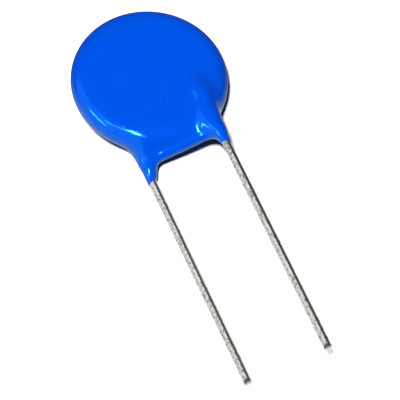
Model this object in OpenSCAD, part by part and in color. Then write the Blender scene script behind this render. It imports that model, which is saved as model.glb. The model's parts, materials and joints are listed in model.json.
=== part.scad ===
// Radial-leaded disc varistor, lying at rest on its rear face.
// A zinc oxide disc carries a silver electrode on each face. A tinned wire is soldered
// to each electrode: flattened under the coating, round and straight outside it. A
// dipped epoxy coating seals the disc and runs down both wires. In the component's own
// frame the disc's axis is Z, the front face looks along +Z and the wires leave along
// -Y. The rear wire's ridge lifts one side of the disc off the surface, so the whole
// component is turned a little about Y to lie on it.

/* [Ceramic disc] */
// Diameter of the ceramic disc
ceramic_d = 14; // [13:0.5:17]
// Thickness of the ceramic disc
ceramic_t = 2; // [1.2:0.1:3]
// Radius of the rounded edges of the ceramic disc
ceramic_edge_r = 0.2; // [0.1:0.05:0.4]
// Diameter of the silver electrode on each face
electrode_d = 12; // [11.5:0.1:12.5]
// Thickness of each silver electrode
electrode_t = 0.04; // [0.02:0.01:0.08]

/* [Leads] */
// Diameter of the lead wire
lead_d = 0.8; // [0.7:0.1:0.9]
// Distance between the two leads, across the disc
lead_pitch = 7.5; // [7:0.1:8]
// From the disc's centre to the free end of the front lead
front_lead_reach = 33; // [20:0.1:40]
// From the disc's centre to the free end of the rear lead
rear_lead_reach = 32.4; // [20:0.1:40]
// From the disc's centre to the soldered end of each lead
lead_start = 2.6; // [0.8:0.1:3]
// Thickness of each lead where it is flattened
flat_t = 0.55; // [0.5:0.05:0.6]
// Width of each lead where it is flattened
flat_w = 1; // [0.9:0.05:1.1]
// Radius of the flattened lead's corners
flat_edge_r = 0.2; // [0.1:0.05:0.2]
// Length over which each lead turns from flat to round
flat_fade = 0.75; // [0.6:0.05:0.9]
// Length of round wire that the coating's end covers
covered_round = 0.25; // [0.2:0.05:0.3]
// Length of the cutter's bevels at the free end of each lead
cut_len = 0.3; // [0.1:0.05:0.5]
// Width left between the cutter's two bevels
cut_land = 0.3; // [0.2:0.05:0.5]
// How far the cutter's jaws were turned about the lead
cut_turn = 35; // [0:5:90]

/* [Solder] */
// Radius of the solder bead along each lead
solder_r = 0.9; // [0.8:0.05:1]
// Solder film between each lead and its electrode
solder_film = 0.03; // [0.02:0.01:0.06]

/* [Epoxy coating] */
// Thickness of the coating around the disc's edge
edge_coat = 0.7; // [0.5:0.05:1]
// Thickness of the coating over each electrode
face_coat = 0.61; // [0.5:0.05:0.8]
// How round the coated disc's edge is, where 1 would be a full half circle
rim_roundness = 0.97; // [0.7:0.01:0.97]
// Height of the ridge over each lead, above the coated face
ridge_h = 0.65; // [0.55:0.05:0.8]
// Radius of the ridge over each lead
ridge_r = 1.35; // [1.25:0.05:1.5]
// From the disc's centre to the end of the coating on each lead
leg_reach = 9.8; // [9:0.1:11]
// Thickness of the coating where it ends on each lead
leg_tip_coat = 0.1; // [0.05:0.01:0.15]
// Radius of the web that joins the two legs
web_r = 1; // [0.8:0.05:1.1]
// From the disc's centre to the lowest edge of the web, at its middle
web_reach = 8.45; // [8.2:0.05:8.7]
// How much lower the web sits at the rear leg than at the front one
web_slant = 0.5; // [0:0.05:0.8]

/* [Hidden] */
$fn = 96;

half_t = ceramic_t / 2;
electrode_z = half_t + electrode_t;
face_z = electrode_z + face_coat;
coat_r = ceramic_d / 2 + edge_coat;
rim_r = rim_roundness * face_z;
lead_r = lead_d / 2;
lead_x = lead_pitch / 2;
lead_z = electrode_z + solder_film + lead_r;

// The flattened stretch lies on the solder film, as low as the round wire does.
flat_z = lead_z - lead_r + flat_t / 2;
round_start = leg_reach - covered_round;
flat_end = round_start - flat_fade;

// The flattened wire's edges run in to the round wire as a tail, a little thinner and
// narrower than the flattened wire itself.
tail_t = flat_t - 0.1;
tail_w = flat_w - 0.1;

// The bead holds the wire from a little past its end to the electrode's edge.
bead_z = electrode_z - 0.05;
bead_start = lead_start + 0.6;
bead_end = sqrt(pow(electrode_d / 2, 2) - pow(lead_x, 2)) - solder_r;

ridge_z = face_z + ridge_h - ridge_r;
ridge_end = coat_r - 0.7;
leg_root_r = ridge_r - 0.05;
web_depth = 3;

// Rest: one line touches the rear ridge and the opposite rim from below. Both are
// round in section, and rest_span runs between the centres of the two rounds.
rim_x = coat_r - rim_r;
rim_z = face_z - rim_r;
rest_span = [rim_x + lead_x, ridge_z - rim_z];
rest_tilt = atan2(rest_span.y, rest_span.x) + asin((ridge_r - rim_r) / norm(rest_span));
rest_lift = rim_x * sin(rest_tilt) + rim_z * cos(rest_tilt) + rim_r;
rest_y = (front_lead_reach - coat_r) / 2;

// Lays the component on its rear face, with the frame's origin under its middle.
module at_rest() {
    translate([0, rest_y, rest_lift]) rotate([0, rest_tilt, 0]) children();
}

// Leaves what belongs to the front face there, or turns it half a turn about Y onto
// the rear one.
module on_side(front) {
    rotate([0, front ? 0 : 180, 0]) children();
}

// Places a shape drawn along +Z on a line at height z over the front lead's path, so
// that it runs along -Y from the given start.
module along_lead(z, start) {
    translate([lead_x, -start, z]) rotate([90, 0, 0]) children();
}

// A cylinder with round ends along the front lead's path.
module capsule_along_lead(z, r, start, end) {
    along_lead(z, start) cylinder(h = end - start, r = r);
    for (y = [start, end]) along_lead(z, y) sphere(r = r);
}

// Half section of a disc with rounded edges.
module rounded_disc_section(r, half, edge) {
    translate([0, edge - half]) square([r, 2 * (half - edge)]);
    translate([0, -half]) square([r - edge, 2 * half]);
    for (side = [-1, 1])
        translate([r - edge, side * (half - edge)]) circle(r = edge);
}

module disc_blank() {
    rotate_extrude() rounded_disc_section(ceramic_d / 2, half_t, ceramic_edge_r);
}

module electrode_blank() {
    translate([0, 0, half_t]) cylinder(h = electrode_t, d = electrode_d);
}

// Section of the flattened wire: a rectangle with rounded corners.
module flat_section() {
    square([flat_w - 2 * flat_edge_r, flat_t], center = true);
    square([flat_w, flat_t - 2 * flat_edge_r], center = true);
    for (x = [-1, 1], z = [-1, 1])
        translate([x * (flat_w / 2 - flat_edge_r), z * (flat_t / 2 - flat_edge_r)])
            circle(r = flat_edge_r);
}

// Where the flattened wire turns round: a cone that swells to the round wire, and the
// tail that the flattened edges run out in.
module flat_to_round() {
    along_lead(lead_z, flat_end) cylinder(h = flat_fade, r1 = flat_t / 2, r2 = lead_r);
    translate([lead_x, -flat_end, flat_z - tail_t / 2]) linear_extrude(height = tail_t)
        polygon([[-tail_w / 2, 0], [tail_w / 2, 0], [0, -flat_fade]]);
}

// A whole wire: flat under the coating, turning round, then pinched off at its end.
module lead_blank(reach) {
    along_lead(flat_z, lead_start)
        linear_extrude(height = flat_end - lead_start) flat_section();
    flat_to_round();
    difference() {
        along_lead(lead_z, round_start) cylinder(h = reach - round_start, r = lead_r);
        for (side = [-1, 1]) along_lead(lead_z, reach) cutter_bevel(side);
    }
}

// What one jaw of the cutter takes off the end of a wire that runs along +Z up to 0.
module cutter_bevel(side) {
    slope = atan2((lead_d - cut_land) / 2, cut_len);
    rotate([0, 0, cut_turn]) translate([0, side * cut_land / 2, 0])
        rotate([side * slope, 0, 0])
            translate([-lead_d, side > 0 ? 0 : -lead_d, -2 * lead_d])
                cube([2 * lead_d, lead_d, 3 * lead_d]);
}

// The solder bead: a round-ended mound on the electrode.
module bead_blank() {
    intersection() {
        capsule_along_lead(bead_z, solder_r, bead_start, bead_end);
        translate([0, -coat_r, electrode_z]) cube([coat_r, coat_r, 2 * solder_r]);
    }
}

// The coating that tapers from the ridge's end down to one wire.
module leg() {
    run = [leg_reach - ridge_end, lead_z - ridge_z];
    along_lead(ridge_z, ridge_end) rotate([-atan2(run.y, run.x), 0, 0])
        cylinder(h = norm(run), r1 = leg_root_r, r2 = lead_r + leg_tip_coat);
}

// The coating between the legs: a slab with a rounded lower edge, from the rear leg
// up to the front one.
module web() {
    span = [lead_pitch, web_slant, 2 * ridge_z];
    translate([-lead_x, web_r - web_reach - web_slant / 2, -ridge_z])
        rotate([0, atan2(norm([span.x, span.y]), span.z), atan2(span.y, span.x)])
            linear_extrude(height = norm(span)) {
                circle(r = web_r);
                translate([-web_r, 0]) square([2 * web_r, web_depth]);
            }
}

module coating_outside() {
    rotate_extrude() rounded_disc_section(coat_r, face_z, rim_r);
    for (front = [true, false]) on_side(front) {
        capsule_along_lead(ridge_z, ridge_r, lead_start, ridge_end);
        leg();
    }
    web();
}

module coating_inside() {
    disc_blank();
    for (front = [true, false]) on_side(front) {
        electrode_blank();
        bead_blank();
        lead_blank(front ? front_lead_reach : rear_lead_reach);
    }
}

module epoxy_coating() {
    color([0, 0.33, 0.93]) at_rest() difference() {
        coating_outside();
        coating_inside();
    }
}

module ceramic_disc() {
    color([0.27, 0.28, 0.29]) at_rest() disc_blank();
}

module electrode(front) {
    color([0.86, 0.86, 0.84]) at_rest() on_side(front) electrode_blank();
}

module solder(front) {
    color([0.66, 0.67, 0.68]) at_rest() on_side(front) difference() {
        bead_blank();
        lead_blank(front_lead_reach);
    }
}

module lead(front) {
    color([0.78, 0.78, 0.75]) at_rest() on_side(front)
        lead_blank(front ? front_lead_reach : rear_lead_reach);
}

epoxy_coating();
ceramic_disc();
electrode(true);  // front_electrode
electrode(false);  // rear_electrode
solder(true);  // front_solder
solder(false);  // rear_solder
lead(true);  // front_lead
lead(false);  // rear_lead
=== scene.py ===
"""The looks of a radial-leaded disc varistor that lies at rest on a pale floor.

A dipped epoxy skin is one smooth surface that blends the coated disc, the ridges over the
two leads, the tapering legs and the web between the legs. It is drawn as a distance field
and meshed here, and the room for the pieces that it holds is cut out of it. The two tinned
leads are swept along their lines. The ceramic, the electrodes and the solder keep the
frame's own shapes and get their finishes.

Inside the classes lengths are millimetres along the component's own axes: x runs across
the leads, the leads leave along -y, and z is the disc's axis, out of its front face.
Placement turns them into the frame's metres.
"""

import json
import logging
import math
from dataclasses import dataclass
from enum import Enum

import bmesh
import bpy
import numpy as np
from mathutils import Matrix, Vector

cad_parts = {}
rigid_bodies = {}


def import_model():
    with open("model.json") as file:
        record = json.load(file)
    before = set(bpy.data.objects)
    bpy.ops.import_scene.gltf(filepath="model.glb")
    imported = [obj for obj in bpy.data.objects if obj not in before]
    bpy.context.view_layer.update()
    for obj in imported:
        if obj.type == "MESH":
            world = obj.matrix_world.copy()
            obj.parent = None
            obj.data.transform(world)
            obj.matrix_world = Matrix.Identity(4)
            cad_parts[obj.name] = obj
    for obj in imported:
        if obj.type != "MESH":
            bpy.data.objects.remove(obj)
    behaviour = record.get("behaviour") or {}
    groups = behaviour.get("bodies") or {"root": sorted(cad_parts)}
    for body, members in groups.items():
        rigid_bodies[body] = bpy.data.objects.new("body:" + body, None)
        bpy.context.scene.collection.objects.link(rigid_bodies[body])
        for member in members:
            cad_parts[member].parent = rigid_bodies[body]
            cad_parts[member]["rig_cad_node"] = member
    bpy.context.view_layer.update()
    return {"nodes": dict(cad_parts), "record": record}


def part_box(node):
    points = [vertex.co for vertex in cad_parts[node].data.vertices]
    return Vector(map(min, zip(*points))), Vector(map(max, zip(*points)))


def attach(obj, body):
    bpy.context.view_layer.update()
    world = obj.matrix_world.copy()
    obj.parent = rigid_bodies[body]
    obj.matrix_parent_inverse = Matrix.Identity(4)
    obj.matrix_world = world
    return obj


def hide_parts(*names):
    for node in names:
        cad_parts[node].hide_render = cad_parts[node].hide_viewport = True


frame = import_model()

MM = 0.001
WELD = 0.001 * MM
BODY = "root"
log = logging.getLogger("varistor")


# ---------------------------------------------------------------- shader expressions

class Socket:
    """A value, colour or vector in a shader tree; expressions on values add Math nodes."""

    def __init__(self, shader: "Shader", link: bpy.types.NodeSocket) -> None:
        """Wraps one output of a node."""
        self.shader = shader
        self.link = link

    def math(self, operation: str, *operands: "Socket | float") -> "Socket":
        """Adds one Math node.

        Args:
            operation: the node's operation.
            *operands: its values, in order.

        Returns:
            The node's value.
        """
        values = dict(enumerate(operands))
        return self.shader.node("ShaderNodeMath", {"operation": operation}, values)

    def __add__(self, other: "Socket | float") -> "Socket":
        """Sum."""
        return self.math("ADD", self, other)

    def __sub__(self, other: "Socket | float") -> "Socket":
        """Difference."""
        return self.math("SUBTRACT", self, other)

    def __rsub__(self, other: float) -> "Socket":
        """Difference from a number."""
        return self.math("SUBTRACT", other, self)

    def __mul__(self, other: "Socket | float") -> "Socket":
        """Product."""
        return self.math("MULTIPLY", self, other)

    __radd__ = __add__
    __rmul__ = __mul__

    def above(self, low: float, high: float) -> "Socket":
        """How far the value has climbed from low to high.

        Args:
            low: the value that gives 0.
            high: the value that gives 1.

        Returns:
            A smooth step from 0 to 1.
        """
        values = {"Value": self, "From Min": low, "From Max": high}
        return self.shader.node(
            "ShaderNodeMapRange", {"interpolation_type": "SMOOTHSTEP"}, values
        )


class Shader:
    """The node tree of a material or of the world."""

    def __init__(self, owner: bpy.types.Material | bpy.types.World) -> None:
        """Clears the owner's tree.

        Args:
            owner: the material or world to draw in.
        """
        owner.use_nodes = True
        self.owner = owner
        self.tree = owner.node_tree
        self.tree.nodes.clear()

    def node(
        self,
        kind: str,
        settings: dict | None = None,
        values: dict | None = None,
        output: str | int = 0,
    ) -> Socket:
        """Adds any node.

        Args:
            kind: the node's type.
            settings: its settings, which are made first.
            values: a number, colour or Socket for each input that isn't left alone.
            output: the output to hand back.

        Returns:
            That output.
        """
        made = self.tree.nodes.new(kind)
        for name, setting in (settings or {}).items():
            setattr(made, name, setting)
        for key, value in (values or {}).items():
            if isinstance(value, Socket):
                self.tree.links.new(value.link, made.inputs[key])
            else:
                made.inputs[key].default_value = value
        return Socket(self, made.outputs[output])

    def mix(self, factor: Socket, first: tuple | Socket, second: tuple | Socket) -> Socket:
        """Blends two colours.

        Args:
            factor: 0 for the first colour, 1 for the second.
            first: a linear colour.
            second: a linear colour.

        Returns:
            The blended colour.
        """
        settings = {"data_type": "RGBA"}
        values = {"Factor": factor, 6: rgba(first), 7: rgba(second)}
        return self.node("ShaderNodeMix", settings, values, output=2)

    def noise(self, size: float, detail: float = 2.0, stretch: tuple = (1, 1, 1)) -> Socket:
        """Noise fixed to the piece.

        Args:
            size: the length of a typical patch, in millimetres.
            detail: how many finer octaves it has.
            stretch: how much longer its patches are along x, y and z.

        Returns:
            Values around one half.
        """
        place = self.node("ShaderNodeTexCoord", output="Object")
        scale = tuple(1 / (size * MM * longer) for longer in stretch)
        spread = self.node(
            "ShaderNodeVectorMath", {"operation": "MULTIPLY"}, {0: place, 1: scale}
        )
        values = {"Vector": spread, "Scale": 1.0, "Detail": detail}
        return self.node("ShaderNodeTexNoise", values=values)

    def bump(self, height: Socket, depth: float, onto: Socket | None = None) -> Socket:
        """Turns a height into a normal.

        Args:
            height: the height, from 0 to 1.
            depth: what a height of 1 stands for, in millimetres.
            onto: a normal that this one adds to.

        Returns:
            The normal.
        """
        values = {"Height": height, "Distance": depth * MM, "Strength": 1.0}
        if onto is not None:
            values["Normal"] = onto
        return self.node("ShaderNodeBump", values=values)

    def blend(self, factor: Socket, first: Socket, second: Socket) -> Socket:
        """Blends two shaders."""
        return self.node("ShaderNodeMixShader", values={0: factor, 1: first, 2: second})

    def surface(self, values: dict) -> None:
        """Ends the tree in one Principled surface.

        Args:
            values: a number, colour or Socket for each of its inputs in use.
        """
        self.output(self.node("ShaderNodeBsdfPrincipled", values=values))

    def output(self, last: Socket) -> None:
        """Ends the tree.

        Args:
            last: the shader that the owner shows.
        """
        world = isinstance(self.owner, bpy.types.World)
        kind = "ShaderNodeOutputWorld" if world else "ShaderNodeOutputMaterial"
        self.tree.links.new(last.link, self.tree.nodes.new(kind).inputs["Surface"])


def rgba(colour: tuple | Socket) -> tuple | Socket:
    """Gives a plain colour its alpha, and leaves a Socket alone."""
    return colour if isinstance(colour, Socket) else (*colour, 1.0)


def grey(level: float) -> tuple:
    """A linear grey."""
    return (level, level, level)


# ---------------------------------------------------------------------------- finishes

class Finish(Enum):
    """The record's material slots."""

    EPOXY = "blue_epoxy"
    CERAMIC = "zinc_oxide"
    SILVER = "silver_paste"
    SOLDER = "solder"
    TIN = "tinned_wire"


@dataclass(frozen=True)
class EpoxyFinish:
    """Glossy dipped epoxy: one deep colour, slightly uneven, with a few fine specks."""

    colour: tuple = (0.0, 0.0908, 0.8388)
    thin_colour: tuple = (0.0, 0.0960, 0.8550)
    speck_colour: tuple = (0.006, 0.150, 0.88)
    gloss_tint: tuple = (0.09, 0.88, 1.0)
    gloss_level: float = 1.0
    roughness: float = 0.13
    uneven_gloss: float = 0.015
    ripple: float = 0.0012
    cloud_size: float = 3.5
    speck_size: float = 0.20
    patch_size: float = 2.4
    ripple_size: float = 1.1
    gloss_size: float = 0.9

    def material(self) -> bpy.types.Material:
        """Builds the material.

        Returns:
            The material.
        """
        shader = Shader(bpy.data.materials.new("blue_epoxy"))
        cloud = shader.noise(self.cloud_size, detail=1.0)
        specks = shader.noise(self.speck_size, detail=0.0).above(0.73, 0.80)
        patches = shader.noise(self.patch_size, detail=0.0).above(0.46, 0.60)
        colour = shader.mix(cloud.above(0.35, 0.75), self.colour, self.thin_colour)
        colour = shader.mix(specks * patches, colour, self.speck_colour)
        orange_peel = shader.noise(self.ripple_size, detail=1.0)
        shader.surface({
            "Base Color": colour,
            "Roughness": self.roughness + self.uneven_gloss * shader.noise(self.gloss_size),
            "Normal": shader.bump(orange_peel, self.ripple),
            "IOR": 1.5,
            "Specular IOR Level": self.gloss_level,
            "Specular Tint": rgba(self.gloss_tint),
        })
        return shader.owner


@dataclass(frozen=True)
class TinFinish:
    """Satin tin over drawn copper wire: streaks along the wire, pits and dull patches."""

    bright: tuple = (0.86, 0.85, 0.82)
    dull: tuple = (0.40, 0.395, 0.335)
    roughness: float = 0.30
    dull_roughness: float = 0.22
    pit_depth: float = 0.012
    pit_size: float = 0.12
    streak_depth: float = 0.004
    streak_size: float = 0.07
    streak_length: float = 14
    patch_size: float = 0.17
    patch_length: float = 1.8

    def material(self) -> bpy.types.Material:
        """Builds the material.

        Returns:
            The material.
        """
        shader = Shader(bpy.data.materials.new("tinned_wire"))
        pits = shader.noise(self.pit_size)
        streaks = shader.noise(self.streak_size, stretch=(1, self.streak_length, 1))
        patches = shader.noise(self.patch_size, 3.0, (1, self.patch_length, 1))
        dullness = patches.above(0.48, 0.66)
        normal = shader.bump(streaks, self.streak_depth)
        normal = shader.bump(pits, self.pit_depth, onto=normal)
        shader.surface({
            "Base Color": shader.mix(dullness, self.bright, self.dull),
            "Metallic": 1.0,
            "Roughness": self.roughness + self.dull_roughness * dullness,
            "Normal": normal,
        })
        return shader.owner


@dataclass(frozen=True)
class CeramicFinish:
    """Matt sintered zinc oxide: dark grey with a fine, slightly glittering grain."""

    dark: tuple = (0.045, 0.048, 0.052)
    painted_reflection_grey: tuple = (0.085, 0.090, 0.095)
    grain_size: float = 0.05
    grain_depth: float = 0.004

    def material(self) -> bpy.types.Material:
        """Builds the material.

        Returns:
            The material.
        """
        shader = Shader(bpy.data.materials.new("zinc_oxide"))
        grain = shader.noise(self.grain_size, detail=4.0)
        shader.surface({
            "Base Color": shader.mix(grain.above(0.35, 0.70), self.dark, self.painted_reflection_grey),
            "Roughness": 0.62 + 0.15 * grain,
            "Normal": shader.bump(grain, self.grain_depth),
        })
        return shader.owner


@dataclass(frozen=True)
class SilverFinish:
    """Fired silver paste: matt, pale and faintly clouded."""

    bright: tuple = (0.83, 0.82, 0.78)
    clouded: tuple = (0.70, 0.69, 0.65)
    cloud_size: float = 0.8
    grain_size: float = 0.06
    grain_depth: float = 0.002

    def material(self) -> bpy.types.Material:
        """Builds the material.

        Returns:
            The material.
        """
        shader = Shader(bpy.data.materials.new("silver_paste"))
        cloud = shader.noise(self.cloud_size, detail=4.0)
        shader.surface({
            "Base Color": shader.mix(cloud.above(0.40, 0.70), self.bright, self.clouded),
            "Metallic": 0.85,
            "Roughness": 0.50 + 0.15 * cloud,
            "Normal": shader.bump(shader.noise(self.grain_size), self.grain_depth),
        })
        return shader.owner


@dataclass(frozen=True)
class SolderFinish:
    """Solder that froze bright, with slight ripples and duller patches."""

    bright: tuple = (0.62, 0.62, 0.63)
    dull: tuple = (0.45, 0.45, 0.46)
    ripple_size: float = 0.35
    ripple_depth: float = 0.012

    def material(self) -> bpy.types.Material:
        """Builds the material.

        Returns:
            The material.
        """
        shader = Shader(bpy.data.materials.new("solder"))
        ripple = shader.noise(self.ripple_size, detail=3.0)
        shader.surface({
            "Base Color": shader.mix(ripple.above(0.42, 0.68), self.bright, self.dull),
            "Metallic": 1.0,
            "Roughness": 0.24 + 0.25 * ripple,
            "Normal": shader.bump(ripple, self.ripple_depth),
        })
        return shader.owner


# --------------------------------------------------------------------------- placement

@dataclass(frozen=True)
class Placement:
    """Where the component's own axes lie in the frame.

    It rests turned by a small angle about the frame's y axis, because the ridge over the
    rear lead lifts one side of the disc.
    """

    lead_x: float
    lead_z: float
    lead_r: float
    centre: tuple[float, float, float]
    tilt: float

    @classmethod
    def from_frame(cls, lead_pitch: float = 7.5) -> "Placement":
        """Reads the placement from the ceramic's box and from the mounts.

        Args:
            lead_pitch: the distance between the leads across the disc.

        Returns:
            The placement.
        """
        low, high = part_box("ceramic_disc")
        mounts = {mount["name"]: mount for mount in frame["record"]["mounts"]}
        lead_x = lead_pitch / 2
        lead_z = math.sqrt((mounts["lead_pair"]["dims"]["pcd_mm"] / 2) ** 2 - lead_x**2)
        front, rear = mounts["front_lead"], mounts["rear_lead"]
        across, _, up = np.subtract(front["pos_m"], rear["pos_m"])
        return cls(
            lead_x=lead_x,
            lead_z=lead_z,
            lead_r=front["dims"]["r_mm"],
            centre=tuple((low + high) / 2 / MM),
            tilt=math.atan2(lead_z, lead_x) - math.atan2(up, across),
        )

    def turn(self) -> np.ndarray:
        """The rotation from the component's axes to the frame's, as a matrix."""
        c, s = math.cos(self.tilt), math.sin(self.tilt)
        return np.array([[c, 0, s], [0, 1, 0], [-s, 0, c]])

    def to_frame(self, points: np.ndarray) -> np.ndarray:
        """Moves points from the component's millimetres to the frame's metres.

        Args:
            points: an array of points, one in each row.

        Returns:
            The same points in the frame.
        """
        return (np.asarray(points) @ self.turn().T + self.centre) * MM


# ------------------------------------------------------------------------ mesh making

class Field:
    """A solid drawn as a distance field. Subclasses say how far a point is from it.

    Where the field is nearly level, LEAST_STEEP keeps a Newton step short.
    """

    LEAST_STEEP = 0.05

    def distance(self, points: np.ndarray) -> np.ndarray:
        """How far each point is from the surface, below zero inside."""
        raise NotImplementedError

    def slope(self, points: np.ndarray, reach: float = 0.002) -> np.ndarray:
        """The field's gradient.

        Args:
            points: an array of points, one in each row.
            reach: half the span of each difference.

        Returns:
            One gradient in each row.
        """
        columns = []
        for axis in np.eye(3) * reach:
            ahead, behind = self.distance(points + axis), self.distance(points - axis)
            columns.append((ahead - behind) / (2 * reach))
        return np.stack(columns, axis=-1)

    def settle(self, points: np.ndarray, passes: int = 3) -> np.ndarray:
        """Moves points onto the surface.

        Args:
            points: an array of points near the surface.
            passes: how many Newton steps are taken.

        Returns:
            The points on the surface.
        """
        for _ in range(passes):
            slope = self.slope(points)
            steep = np.maximum((slope**2).sum(axis=1), self.LEAST_STEEP)
            points = points - slope * (self.distance(points) / steep)[:, None]
        return points

    def net(self, low: tuple, high: tuple, cell: float) -> tuple[np.ndarray, np.ndarray]:
        """Meshes the surface: a vertex in each cell that it crosses, joined into quads.

        Args:
            low: the lowest corner of the box to mesh.
            high: its highest corner.
            cell: the size of a cell.

        Returns:
            The vertices, and four vertex numbers for each quad.
        """
        axes = [np.arange(a, b + cell, cell) for a, b in zip(low, high)]
        grid = np.stack(np.meshgrid(*axes, indexing="ij"), axis=-1)
        inside = self.distance(grid.reshape(-1, 3)).reshape(grid.shape[:3]) < 0
        corners = sum(
            inside[i:i - 1 or None, j:j - 1 or None, k:k - 1 or None].astype(int)
            for i in (0, 1) for j in (0, 1) for k in (0, 1)
        )
        crossed = (corners > 0) & (corners < 8)
        number = np.full(crossed.shape, -1)
        number[crossed] = np.arange(crossed.sum())
        vertices = grid[:-1, :-1, :-1][crossed] + cell / 2
        quads = np.concatenate([_quads(inside, number, axis) for axis in range(3)])
        return self.relax(vertices, quads), quads

    def relax(self, vertices: np.ndarray, quads: np.ndarray, passes: int = 8) -> np.ndarray:
        """Evens out a net, and keeps it on the surface.

        Args:
            vertices: the net's vertices.
            quads: its quads.
            passes: how many times each vertex moves towards its neighbours.

        Returns:
            The vertices' new places.
        """
        start = quads.ravel()
        end = np.roll(quads, -1, axis=1).ravel()
        number = len(vertices)
        count = np.bincount(start, minlength=number)[:, None]
        vertices = self.settle(vertices)
        for _ in range(passes):
            total = np.stack([
                np.bincount(start, weights=vertices[end, axis], minlength=number)
                for axis in range(3)
            ], axis=-1)
            vertices = self.settle((vertices + total / count) / 2, passes=1)
        return self.settle(vertices)


def _quads(inside: np.ndarray, number: np.ndarray, axis: int) -> np.ndarray:
    """The quads across the grid's edges along one axis.

    Args:
        inside: whether each grid point is inside the solid.
        number: each cell's vertex number.
        axis: the axis of the edges.

    Returns:
        Four vertex numbers for each quad, wound so that it faces out.
    """
    inside = np.moveaxis(inside, axis, 0)
    number = np.moveaxis(number, axis, 0)
    start, end = inside[:-1, 1:-1, 1:-1], inside[1:, 1:-1, 1:-1]
    around = np.stack([
        number[:, :-1, :-1], number[:, 1:, :-1], number[:, 1:, 1:], number[:, :-1, 1:]
    ], axis=-1)
    leaving, entering = around[start & ~end], around[~start & end]
    if axis == 1:
        leaving, entering = entering, leaving
    return np.concatenate([leaving, entering[:, ::-1]])


def smooth_union(first: np.ndarray, second: np.ndarray, blend: float) -> np.ndarray:
    """Joins two distance fields with a fillet.

    Args:
        first: distances to one solid.
        second: distances to the other.
        blend: how near both must be for the fillet to form.

    Returns:
        Distances to the blended solid.
    """
    near = np.maximum(blend - np.abs(first - second), 0) / blend
    return np.minimum(first, second) - near**3 * blend / 6


def mix(first: float | np.ndarray, second: float | np.ndarray, share: np.ndarray) -> np.ndarray:
    """Goes from the first value to the second as the share goes from 0 to 1."""
    return first + (second - first) * share


def step(where: np.ndarray, start: float, end: float) -> np.ndarray:
    """Climbs smoothly from 0 to 1 between the start and the end."""
    climbed = np.clip((where - start) / (end - start), 0, 1)
    return climbed**2 * (3 - 2 * climbed)


def smooth_cut(first: np.ndarray, second: np.ndarray, blend: float) -> np.ndarray:
    """Keeps what two distance fields share, with a rounded edge."""
    return -smooth_union(-first, -second, blend)


def make_object(
    name: str, vertices: np.ndarray, faces: list, place: Placement | None = None
) -> bpy.types.Object:
    """Makes a mesh object.

    Args:
        name: the piece's name.
        vertices: its vertices, in the component's millimetres, or the frame's metres
            where no placement is given.
        faces: vertex numbers for each face.
        place: the placement.

    Returns:
        The object, linked to the scene.
    """
    mesh = bpy.data.meshes.new(name)
    points = place.to_frame(vertices) if place else np.asarray(vertices)
    mesh.from_pydata(points.tolist(), [], [list(face) for face in faces])
    mesh.validate()
    piece = bpy.data.objects.new(name, mesh)
    bpy.context.scene.collection.objects.link(piece)
    return piece


def welded_copy(piece: bpy.types.Object) -> bpy.types.Object:
    """Copies a piece and joins the vertices that its faces share.

    Args:
        piece: a closed piece.

    Returns:
        The copy, linked to the scene.
    """
    mesh = bmesh.new()
    mesh.from_mesh(piece.data)
    mesh.transform(piece.matrix_world)
    bmesh.ops.remove_doubles(mesh, verts=mesh.verts, dist=WELD)
    data = bpy.data.meshes.new(piece.name + "_copy")
    mesh.to_mesh(data)
    mesh.free()
    copy = bpy.data.objects.new(data.name, data)
    bpy.context.scene.collection.objects.link(copy)
    return copy


def tube_faces(rings: int, sides: int) -> list:
    """Faces of a closed tube of rings, with a fan of one face at each end.

    Args:
        rings: how many rings it has.
        sides: how many vertices each ring has.

    Returns:
        Vertex numbers for each face.
    """
    faces = []
    for ring in range(rings - 1):
        base = ring * sides
        for side in range(sides):
            here, after = base + side, base + (side + 1) % sides
            faces.append((here, after, after + sides, here + sides))
    faces.append(tuple(reversed(range(sides))))
    faces.append(tuple(range((rings - 1) * sides, rings * sides)))
    return faces


# ------------------------------------------------------------------------------ leads

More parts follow.
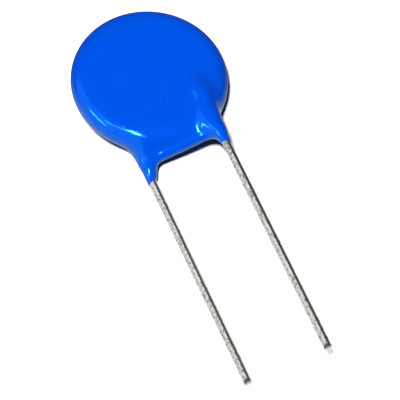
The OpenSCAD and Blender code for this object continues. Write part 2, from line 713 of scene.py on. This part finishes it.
@dataclass(frozen=True)
class Lead:
    """A tinned wire: flattened where the coating holds it, round outside, cut at its end."""

    name: str
    side: int
    reach: float
    start: float
    place: Placement
    flat_t: float = 0.55
    flat_w: float = 0.9
    flat_end: float = 9.0
    round_start: float = 9.75
    cut_len: float = 0.32
    cut_land: float = 0.20
    cut_turn: float = 35.0
    flat_power: float = 0.6
    sides: int = 48
    flat_rings: int = 12
    fade_rings: int = 9
    cut_rings: int = 6
    ring_gap: float = 0.22

    @classmethod
    def from_frame(cls, name: str, side: int, place: Placement) -> "Lead":
        """Reads a lead's ends from its box.

        Args:
            name: the lead's node.
            side: 1 for the front lead, -1 for the rear one.
            place: the placement.

        Returns:
            The lead.
        """
        low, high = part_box(name)
        reach, start = place.centre[1] - low.y / MM, place.centre[1] - high.y / MM
        return cls(name, side, reach, start, place)

    def section(self, along: float) -> np.ndarray:
        """The outline of the wire at one place.

        Args:
            along: the distance from the disc's centre.

        Returns:
            One (x, z) point in each row, from the lead's line.
        """
        r = self.place.lead_r
        turn = np.linspace(0, 2 * math.pi, self.sides, endpoint=False)
        circle = np.stack([np.cos(turn), np.sin(turn)], axis=-1)
        share = step(along, self.flat_end, self.round_start)
        squared = np.sign(circle) * np.abs(circle) ** self.flat_power
        flat = squared * [self.flat_w / 2, self.flat_t / 2] + [0, self.flat_t / 2 - r]
        outline = mix(flat, circle * r, share)
        pinch = np.clip((along - self.reach + self.cut_len) / self.cut_len, 0, 1)
        if pinch > 0:
            outline = self.pinched(outline, pinch)
        return outline

    def pinched(self, outline: np.ndarray, pinch: float) -> np.ndarray:
        """Cuts the two bevels that the cutter leaves.

        Args:
            outline: the wire's outline.
            pinch: 0 where the bevels start, 1 at the wire's end.

        Returns:
            The outline between the bevels.
        """
        angle = math.radians(self.cut_turn)
        c, s = math.cos(angle), math.sin(angle)
        turned = np.array([[c, -s], [s, c]])
        half = mix(self.place.lead_r, self.cut_land / 2, pinch)
        local = outline @ turned
        local[:, 1] = np.clip(local[:, 1], -half, half)
        return local @ turned.T

    def build(self) -> bpy.types.Object:
        """Sweeps the wire.

        Returns:
            The wire.
        """
        cut_start = self.reach - self.cut_len
        stops = np.concatenate([
            np.linspace(self.start, self.flat_end, self.flat_rings),
            np.linspace(self.flat_end, self.round_start, self.fade_rings)[1:],
            np.arange(self.round_start + self.ring_gap, cut_start, self.ring_gap),
            np.linspace(cut_start, self.reach, self.cut_rings),
        ])
        rings = []
        for along in stops:
            outline = self.section(along)
            rings.append(np.stack([
                self.side * (self.place.lead_x + outline[:, 0]),
                np.full(self.sides, -along),
                self.side * (self.place.lead_z + outline[:, 1]),
            ], axis=-1))
        faces = tube_faces(len(stops), self.sides)
        return make_object(self.name + "_wire", np.concatenate(rings), faces, self.place)


# ---------------------------------------------------------------------------- coating

@dataclass(frozen=True)
class Leg:
    """How the ridge over one lead narrows to the round tip of its leg.

    Each pair says from where to where along the lead a smooth step runs: the taper
    brings the crest and the foot to the tip, the neck narrows the sides, and back
    brings the leg, which leans towards the other one, over its own lead again.
    """

    root_r: float
    tip_r: float
    lean: float
    taper: tuple
    neck: tuple
    back: tuple


@dataclass
class Coating(Field):
    """The dipped epoxy skin and the room that it leaves for the pieces inside."""

    place: Placement
    radius: float
    face_z: float = 1.65
    rim_width: float = 1.9
    rim_power: float = 2.15
    ridge_start: float = 1.7
    ridge_nose: float = 2.6
    ridge_swell: float = 5.2
    ridge_start_z: float = 1.25
    ridge_crest: float = 2.23
    ridge_foot: float = -0.6
    ridge_r: float = 0.6
    lean_start: float = 3.8
    lean_end: float = 6.4
    front_leg: Leg = Leg(
        root_r=1.1, tip_r=0.45, lean=-0.4,
        taper=(6.0, 10.2), neck=(7.0, 9.8), back=(7.2, 9.0),
    )
    rear_leg: Leg = Leg(
        root_r=0.72, tip_r=0.52, lean=-0.3,
        taper=(6.2, 9.8), neck=(8.6, 9.9), back=(8.0, 10.2),
    )
    leg_reach: float = 9.9
    tip_slant: float = 0.38
    tip_r: float = 0.35
    ridge_blend: float = 1.45
    web_reach: float = 7.85
    web_slant: float = -0.03
    web_height: float = 1.00
    web_edge_r: float = 0.54
    web_root_r: float = 0.58
    web_depth: float = 1.72
    web_blend: float = 1.13
    half_height: float = 2.6
    tip_room: float = 1.0
    cell: float = 0.13
    margin_cells: int = 3
    on_surface: float = 0.01

    @classmethod
    def from_frame(cls, place: Placement) -> "Coating":
        """Reads the coated disc's radius from the coating's box."""
        _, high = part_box("epoxy_coating")
        return cls(place, high.y / MM - place.centre[1])

    def disc(self, points: np.ndarray) -> np.ndarray:
        """Distance to the coated disc, whose rim is a soft half round.

        Args:
            points: an array of points, one in each row.

        Returns:
            One distance for each point.
        """
        rho = np.hypot(points[:, 0], points[:, 1])
        out = np.maximum(rho - self.radius + self.rim_width, 0) / self.rim_width
        up = np.abs(points[:, 2]) / self.face_z
        power = self.rim_power
        return ((out**power + up**power) ** (1 / power) - 1) * self.face_z

    def leg(self, points: np.ndarray, side: int) -> np.ndarray:
        """Distance to the ridge and the leg over one lead.

        Across the lead it is tall with round ends, from its foot to its crest. The crest
        climbs out of the disc in a round nose.

        Args:
            points: an array of points, one in each row.
            side: 1 for the front lead, -1 for the rear one.

        Returns:
            One distance for each point.
        """
        across, along, up = side * points[:, 0], -points[:, 1], side * points[:, 2]
        leg = self.front_leg if side > 0 else self.rear_leg
        short = np.clip(1 - (along - self.ridge_start) / self.ridge_nose, 0, 1)
        crest = mix(self.ridge_start_z, self.ridge_crest, 1 - short**2)
        swell = step(along, self.ridge_start, self.ridge_start + self.ridge_swell)
        radius = mix(self.ridge_r, leg.root_r, swell)
        taper = step(along, *leg.taper)
        crest = mix(crest, self.place.lead_z + leg.tip_r, taper)
        foot = mix(self.ridge_foot, self.place.lead_z - leg.tip_r, taper)
        radius = mix(radius, leg.tip_r, step(along, *leg.neck))
        leaning = step(along, self.lean_start, self.lean_end) - step(along, *leg.back)
        shift = leg.lean * leaning
        straight = np.maximum((crest - foot) / 2 - radius, 0)
        rise = np.maximum(np.abs(up - (crest + foot) / 2) - straight, 0)
        tube = np.hypot(across - self.place.lead_x - shift, rise) - radius
        end = along - self.leg_reach - self.tip_slant * (across - self.place.lead_x)
        return np.maximum(smooth_cut(tube, end, self.tip_r), self.ridge_start - along)

    def web(self, points: np.ndarray) -> np.ndarray:
        """Distance to the web between the legs.

        It is a slab with a round lower edge that rises from the rear leg to the front
        one, and it thickens towards the disc.

        Args:
            points: an array of points, one in each row.

        Returns:
            One distance for each point.
        """
        half = self.place.lead_x
        start = np.array([-half, -self.web_reach - self.web_slant / 2, -self.web_height])
        span = np.array([2 * half, self.web_slant, 2 * self.web_height])
        share = np.clip((points - start) @ span / (span @ span), 0, 1)
        across, along, up = (points - start - share[:, None] * span).T
        back = np.clip(along / self.web_depth, 0, 1)
        radius = mix(self.web_edge_r, self.web_root_r, back)
        return np.sqrt(across**2 + (along - back * self.web_depth) ** 2 + up**2) - radius

    def distance(self, points: np.ndarray) -> np.ndarray:
        """Distance to the whole skin.

        Args:
            points: an array of points, one in each row.

        Returns:
            One distance for each point.
        """
        legs = self.web(points)
        for side in (1, -1):
            legs = smooth_union(legs, self.leg(points, side), self.web_blend)
        return smooth_union(self.disc(points), legs, self.ridge_blend)

    def build(self) -> bpy.types.Object:
        """Meshes the skin.

        Returns:
            The skin.
        """
        margin = self.margin_cells * self.cell
        side, top = self.radius + margin, self.half_height + margin
        low = (-side, -self.leg_reach - self.tip_room, -top)
        high = (side, side, top)
        vertices, quads = self.net(low, high, self.cell)
        across, _, up = self.place.to_frame(vertices).T / MM
        for name, half in (("ridge", across < 0), ("rim", across > 0)):
            log.info("lowest point at the %s: %.4f mm", name, up[half].min())
        return make_object("epoxy_skin", vertices, quads, self.place)

    def hollow(self, piece: bpy.types.Object, fillers: list) -> None:
        """Cuts the room for the pieces inside out of the coating.

        Args:
            piece: the coating.
            fillers: the pieces that fill it.
        """
        for filler in fillers:
            cutter = welded_copy(filler)
            cut = piece.modifiers.new("room", "BOOLEAN")
            cut.operation, cut.solver, cut.object = "DIFFERENCE", "EXACT", cutter
            depsgraph = bpy.context.evaluated_depsgraph_get()
            carved = bpy.data.meshes.new_from_object(piece.evaluated_get(depsgraph))
            piece.modifiers.clear()
            piece.data = carved
            bpy.data.objects.remove(cutter)

    def shade(self, piece: bpy.types.Object) -> None:
        """Gives the outside the field's own normals, and leaves the room inside flat.

        Args:
            piece: the finished coating.
        """
        mesh = piece.data
        count = len(mesh.vertices)
        co = np.zeros(count * 3)
        mesh.vertices.foreach_get("co", co)
        turn = self.place.turn()
        local = (co.reshape(-1, 3) / MM - self.place.centre) @ turn
        slope = self.slope(local)
        normals = slope / np.linalg.norm(slope, axis=1)[:, None] @ turn.T
        outside = np.abs(self.distance(local)) < self.on_surface
        loops = np.zeros(len(mesh.loops), int)
        mesh.loops.foreach_get("vertex_index", loops)
        sizes = np.zeros(len(mesh.polygons), int)
        mesh.polygons.foreach_get("loop_total", sizes)
        owner = np.repeat(np.arange(len(sizes)), sizes)
        smooth = np.bincount(owner, weights=~outside[loops], minlength=len(sizes)) == 0
        mesh.polygons.foreach_set("use_smooth", smooth)
        flat = np.zeros(len(mesh.polygons) * 3)
        mesh.polygons.foreach_get("normal", flat)
        face_normals = flat.reshape(-1, 3)[owner]
        loop_normals = np.where(smooth[owner][:, None], normals[loops], face_normals)
        mesh.normals_split_custom_set(loop_normals.tolist())


# ----------------------------------------------------------------------------- studio

class Role(Enum):
    """What a lamp does: it lights colours, or it is seen only as a reflection."""

    COLOUR = "colour"
    REFLECTION = "reflection"


class Lit(Enum):
    """The pieces that a lamp lights, or that shade its light from others."""

    ALL = "everything"
    COMPONENT = "the whole component"
    COATING = "the coating"
    LEADS = "the leads"


@dataclass(frozen=True)
class Lamp:
    """A soft lamp that faces the component from a given side.

    A lamp for colours has a level of 1 where a colour facing it renders as written. A
    reflection's level is how bright it looks in a perfect mirror.
    """

    name: str
    azimuth: float
    elevation: float
    width: float
    height: float
    level: float
    role: Role = Role.COLOUR
    lights: Lit = Lit.ALL
    shaded_by: Lit = Lit.ALL
    distance: float = 0.6

    def place(self, aim: Vector) -> bpy.types.Object:
        """Adds the lamp.

        Args:
            aim: the point that it faces.

        Returns:
            The lamp.
        """
        data = bpy.data.lights.new(self.name, "AREA")
        data.shape = "ELLIPSE"
        data.size = 2 * self.distance * math.tan(math.radians(self.width / 2))
        data.size_y = 2 * self.distance * math.tan(math.radians(self.height / 2))
        area = math.pi / 4 * data.size * data.size_y
        brightness = self.level
        if self.role is Role.COLOUR:
            brightness *= math.pi * self.distance**2 / area
        data.energy = brightness * math.pi * area
        lamp = bpy.data.objects.new(self.name, data)
        bpy.context.scene.collection.objects.link(lamp)
        towards = direction(self.azimuth, self.elevation)
        lamp.location = aim + towards * self.distance
        lamp.rotation_euler = towards.to_track_quat("Z", "Y").to_euler()
        lamp.visible_camera = False
        lamp.visible_diffuse = self.role is Role.COLOUR
        lamp.visible_glossy = self.role is Role.REFLECTION
        return lamp


def direction(azimuth: float, elevation: float) -> Vector:
    """A unit vector.

    Args:
        azimuth: degrees from +y towards +x.
        elevation: degrees above the floor.

    Returns:
        The vector.
    """
    turn, rise = math.radians(azimuth), math.radians(elevation)
    flat = math.cos(rise)
    return Vector((flat * math.sin(turn), flat * math.cos(turn), math.sin(rise)))


def gather(name: str, pieces: list) -> bpy.types.Collection:
    """Gathers pieces in a collection of their own.

    Args:
        name: the collection's name.
        pieces: the pieces.

    Returns:
        The collection.
    """
    group = bpy.data.collections.new(name)
    for piece in pieces:
        group.objects.link(piece)
    return group


@dataclass(frozen=True)
class Studio:
    """The floor, the lamps, the surroundings and the camera."""

    lamps: tuple[Lamp, ...] = (
        Lamp("overhead", -128, 73, 9, 9, 0.50),
        Lamp("overhead_soft", -128, 73, 9, 9, 0.45, shaded_by=Lit.COATING),
        Lamp("front_fill", -125, 22, 60, 40, 0.36, lights=Lit.COMPONENT),
        Lamp("back_fill", 35, 25, 60, 40, 0.09, lights=Lit.COMPONENT),
        Lamp("side_fill", 110, 20, 60, 40, 0.12, lights=Lit.COMPONENT),
        Lamp("streak", -138, 64, 9, 9, 62, Role.REFLECTION, Lit.COATING),
        Lamp("streak_tails", -138, 62, 32, 5, 6, Role.REFLECTION, Lit.COATING),
        Lamp("side_window", -99, 53, 8, 4, 12, Role.REFLECTION, Lit.COATING),
        Lamp("window", -90, 31, 28, 5, 13, Role.REFLECTION, Lit.COATING),
        Lamp("glow_core", -94, 30, 60, 40, 0.5, Role.REFLECTION, Lit.COATING),
        Lamp("glow_halo", -94, 30, 80, 56, 0.5, Role.REFLECTION, Lit.COATING),
        Lamp("glow_rim", -94, 30, 100, 72, 0.5, Role.REFLECTION, Lit.COATING),
        Lamp("sky", -55, 40, 90, 80, 0.75, Role.REFLECTION, Lit.LEADS),
        Lamp("sky_right", 5, 68, 40, 36, 0.65, Role.REFLECTION, Lit.LEADS),
    )
    floor_half: float = 1.5
    aim: Vector = Vector((0.0, 0.0126, 0.002))
    ambient: float = 0.004
    ambient_mirrored: float = 0.03
    floor_colour: float = 0.06
    floor_seen: float = 1.6
    front_azimuth: float = -160.0
    painted_reflection_front: float = 0.85
    painted_reflection_back: float = 0.08
    mirror_spread: float = 6.0
    view_azimuth: float = -25.358
    view_elevation: float = 63.096
    view_roll: float = 2.084
    view_distance: float = 216.7
    view_lens: float = 203.1
    view_sensor: float = 36.0
    view_clip: tuple = (0.01, 20.0)
    view_aim: tuple = (-0.225, -0.332)

    def lay_floor(self) -> None:
        """Lays the floor, pale to the camera. To glossy rays it glows without shadow: a painted
        reflection that is pale in front of the component and dim behind it.
        """
        half = self.floor_half
        corners = [(-half, -half, 0), (half, -half, 0), (half, half, 0), (-half, half, 0)]
        floor = make_object("floor", corners, [(0, 1, 2, 3)])
        shader = Shader(bpy.data.materials.new("floor"))
        camera, glossy, transmission = (
            shader.node("ShaderNodeLightPath", output=f"Is {kind} Ray")
            for kind in ("Camera", "Glossy", "Transmission")
        )
        colour = shader.mix(camera, grey(self.floor_colour), grey(self.floor_seen))
        plain = shader.node("ShaderNodeBsdfDiffuse", values={"Color": colour})
        place = shader.node("ShaderNodeTexCoord", output="Object")
        forwards = shader.node(
            "ShaderNodeVectorMath",
            {"operation": "DOT_PRODUCT"},
            {0: place, 1: direction(self.front_azimuth, 0.0)},
            output=1,
        )
        middle = self.aim.dot(direction(self.front_azimuth, 0.0))
        spread = self.mirror_spread * MM
        front = forwards.above(middle - spread, middle + spread)
        # Painted reflection: seen in gloss the floor glows pale in front of the component and
        # dim behind it, whatever the lamps do.
        painted_reflection_grey = shader.mix(front, grey(self.painted_reflection_back), grey(self.painted_reflection_front))
        painted_reflection_glow = shader.node("ShaderNodeEmission", values={"Color": painted_reflection_grey})
        bounced = shader.node("ShaderNodeLightPath", output="Diffuse Depth")
        seen_in_gloss = glossy.math("MAXIMUM", glossy, transmission) * (1 - bounced)
        shader.output(shader.blend(seen_in_gloss, plain, painted_reflection_glow))
        floor.data.materials.append(shader.owner)

    def surround(self) -> None:
        """Lights the surroundings: a plain fill, and white where the backdrop is seen."""
        world = bpy.data.worlds.new("studio")
        bpy.context.scene.world = world
        shader = Shader(world)
        camera = shader.node("ShaderNodeLightPath", output="Is Camera Ray")
        glossy = shader.node("ShaderNodeLightPath", output="Is Glossy Ray")
        colour = shader.mix(glossy, grey(self.ambient), grey(self.ambient_mirrored))
        colour = shader.mix(camera, colour, grey(1.0))
        shader.output(shader.node("ShaderNodeBackground", values={"Color": colour}))

    def hang_lamps(self, groups: dict) -> None:
        """Hangs the lamps around the component.

        Args:
            groups: the pieces that each kind of lamp may be limited to.
        """
        for lamp in self.lamps:
            linking = lamp.place(self.aim).light_linking
            if lamp.lights is not Lit.ALL:
                lit = gather(lamp.name + "_lights", groups[lamp.lights])
                linking.receiver_collection = lit
            if lamp.shaded_by is not Lit.ALL:
                shading = gather(lamp.name + "_shade", groups[lamp.shaded_by])
                linking.blocker_collection = shading

    def set_camera(self) -> None:
        """Sets up the camera."""
        data = bpy.data.cameras.new("camera")
        data.lens = self.view_lens
        data.sensor_width = self.view_sensor
        data.clip_start, data.clip_end = self.view_clip
        camera = bpy.data.objects.new("camera", data)
        bpy.context.scene.collection.objects.link(camera)
        turn, rise = math.radians(self.view_azimuth), math.radians(self.view_elevation)
        right = Vector((math.cos(turn), math.sin(turn), 0))
        level = Vector((-math.sin(turn), math.cos(turn), 0))
        ahead = level * math.cos(rise) - Vector((0, 0, math.sin(rise)))
        up = right.cross(ahead)
        roll = math.radians(self.view_roll)
        rolled_right = math.cos(roll) * right + math.sin(roll) * up
        rolled_up = -math.sin(roll) * right + math.cos(roll) * up
        axes = Matrix((rolled_right, rolled_up, -ahead)).transposed()
        stand = (Vector((*self.view_aim, 0.0)) - ahead * self.view_distance) * MM
        camera.matrix_world = Matrix.Translation(stand) @ axes.to_4x4()
        bpy.context.scene.camera = camera

    def build(self, groups: dict) -> None:
        """Builds the whole studio.

        Args:
            groups: the pieces that each kind of lamp may be limited to.
        """
        self.lay_floor()
        self.surround()
        self.hang_lamps(groups)
        self.set_camera()
        bpy.context.scene.view_settings.view_transform = "Standard"


# ------------------------------------------------------------------------------- main

def dress(piece: bpy.types.Object, finish: bpy.types.Material, slot: Finish) -> None:
    """Gives a piece its finish.

    Args:
        piece: a piece or a node of the frame.
        finish: the material.
        slot: the record's slot.
    """
    piece.data.materials.clear()
    piece.data.materials.append(finish)
    log.info("%s: %d faces, %s", piece.name, len(piece.data.polygons), slot.value)


def main() -> None:
    """Builds the component and its studio."""
    logging.basicConfig(level=logging.INFO, format="%(name)s: %(message)s")
    place = Placement.from_frame()

    tin = TinFinish().material()
    wires = []
    for name, side in (("front_lead", 1), ("rear_lead", -1)):
        wire = Lead.from_frame(name, side, place).build()
        wire.data.shade_smooth()
        dress(wire, tin, Finish.TIN)
        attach(wire, BODY)
        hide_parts(name)
        wires.append(wire)

    sealed = ["ceramic_disc"]
    sealed += [face + part for part in ("_electrode", "_solder") for face in ("front", "rear")]
    inner = {name: frame["nodes"][name] for name in sealed}
    dress(inner["ceramic_disc"], CeramicFinish().material(), Finish.CERAMIC)
    silver, solder = SilverFinish().material(), SolderFinish().material()
    for face in ("front", "rear"):
        dress(inner[face + "_electrode"], silver, Finish.SILVER)
        dress(inner[face + "_solder"], solder, Finish.SOLDER)

    coating = Coating.from_frame(place)
    skin = coating.build()
    coating.hollow(skin, [*inner.values(), *wires])
    coating.shade(skin)
    dress(skin, EpoxyFinish().material(), Finish.EPOXY)
    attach(skin, BODY)
    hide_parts("epoxy_coating")

    Studio().build({Lit.COATING: [skin], Lit.LEADS: wires, Lit.COMPONENT: [skin, *wires]})
    bpy.context.view_layer.update()


if __name__ == "__main__":
    main()
